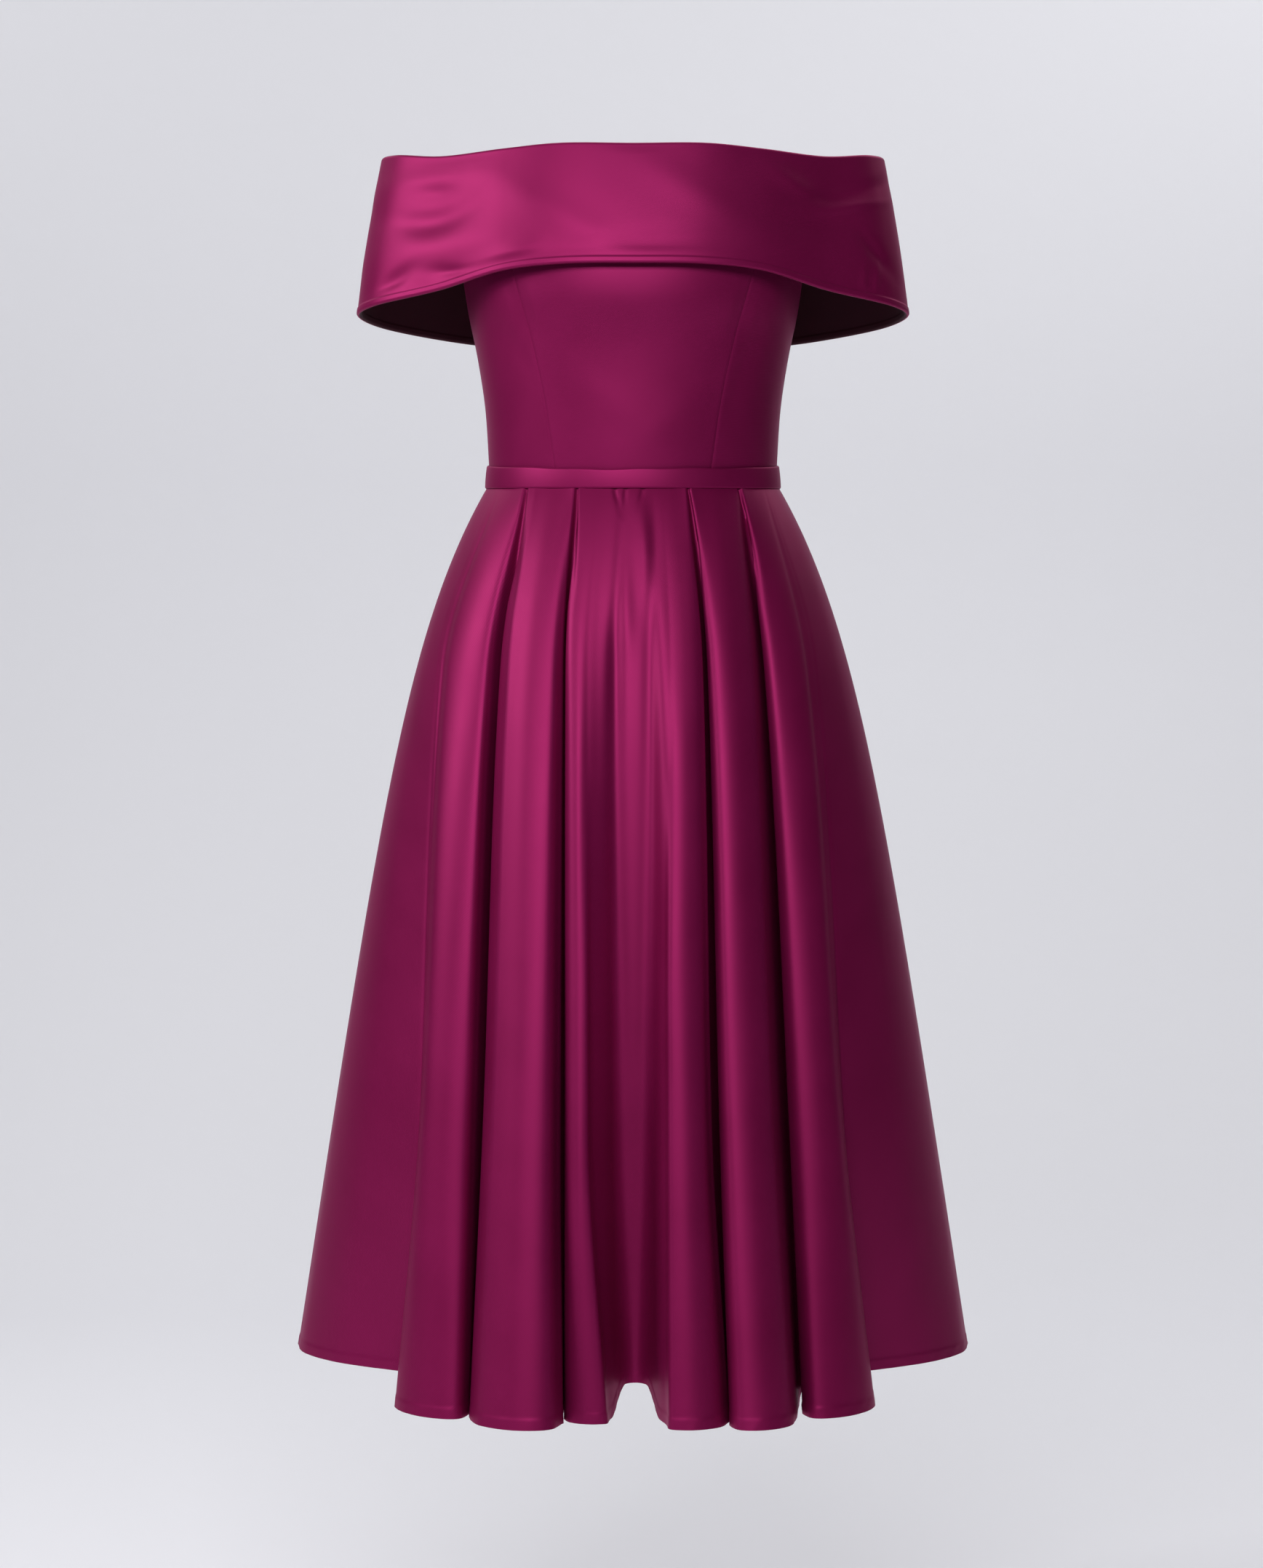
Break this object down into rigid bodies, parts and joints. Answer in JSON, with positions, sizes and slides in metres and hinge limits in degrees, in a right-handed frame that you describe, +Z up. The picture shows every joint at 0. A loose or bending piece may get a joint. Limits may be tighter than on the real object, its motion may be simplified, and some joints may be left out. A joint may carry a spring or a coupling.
{
  "type": "off-the-shoulder satin midi dress with a pleated skirt",
  "caption": "Hollow worn-form satin dress: wide fold-over shoulder band, princess-seamed bodice, narrow waistband, pleated A-line midi skirt and a side zip.",
  "frame": {"origin": "centre of the waist, halfway up the waistband, where the wearer's waist holds the dress", "axes": "+Z up the wearer, +X towards the wearer's left, -Y out of the front of the dress"},
  "size_m": [0.5708, 0.4819, 1.0283],
  "materials": {
    "satin": "raspberry satin with a soft sheen",
    "satin_band": "raspberry satin, doubled",
    "satin_skirt": "raspberry satin with a soft sheen",
    "zip_tape": "woven tape, matt",
    "zip_metal": "coloured enamel"
  },
  "bodies": {
    "dress": {"bodice_front_centre": "satin", "bodice_front_side_left": "satin", "bodice_front_side_right": "satin", "bodice_back": "satin", "shoulder_band_front": "satin_band", "shoulder_band_back": "satin_band", "waistband_front": "satin", "waistband_back": "satin", "skirt_front": "satin_skirt", "skirt_back": "satin_skirt", "zip_chain": "zip_tape", "zip_slider": "zip_metal"},
    "pull": {"zip_pull": "zip_metal"}
  },
  "joints": [
    {"name": "zip_pull_swing", "type": "hinge", "parent": "dress", "child": "pull", "pos_m": [0.15052, 0, 0.195], "axis": [0, -1, 0], "range_deg": [0, 150]}
  ]
}
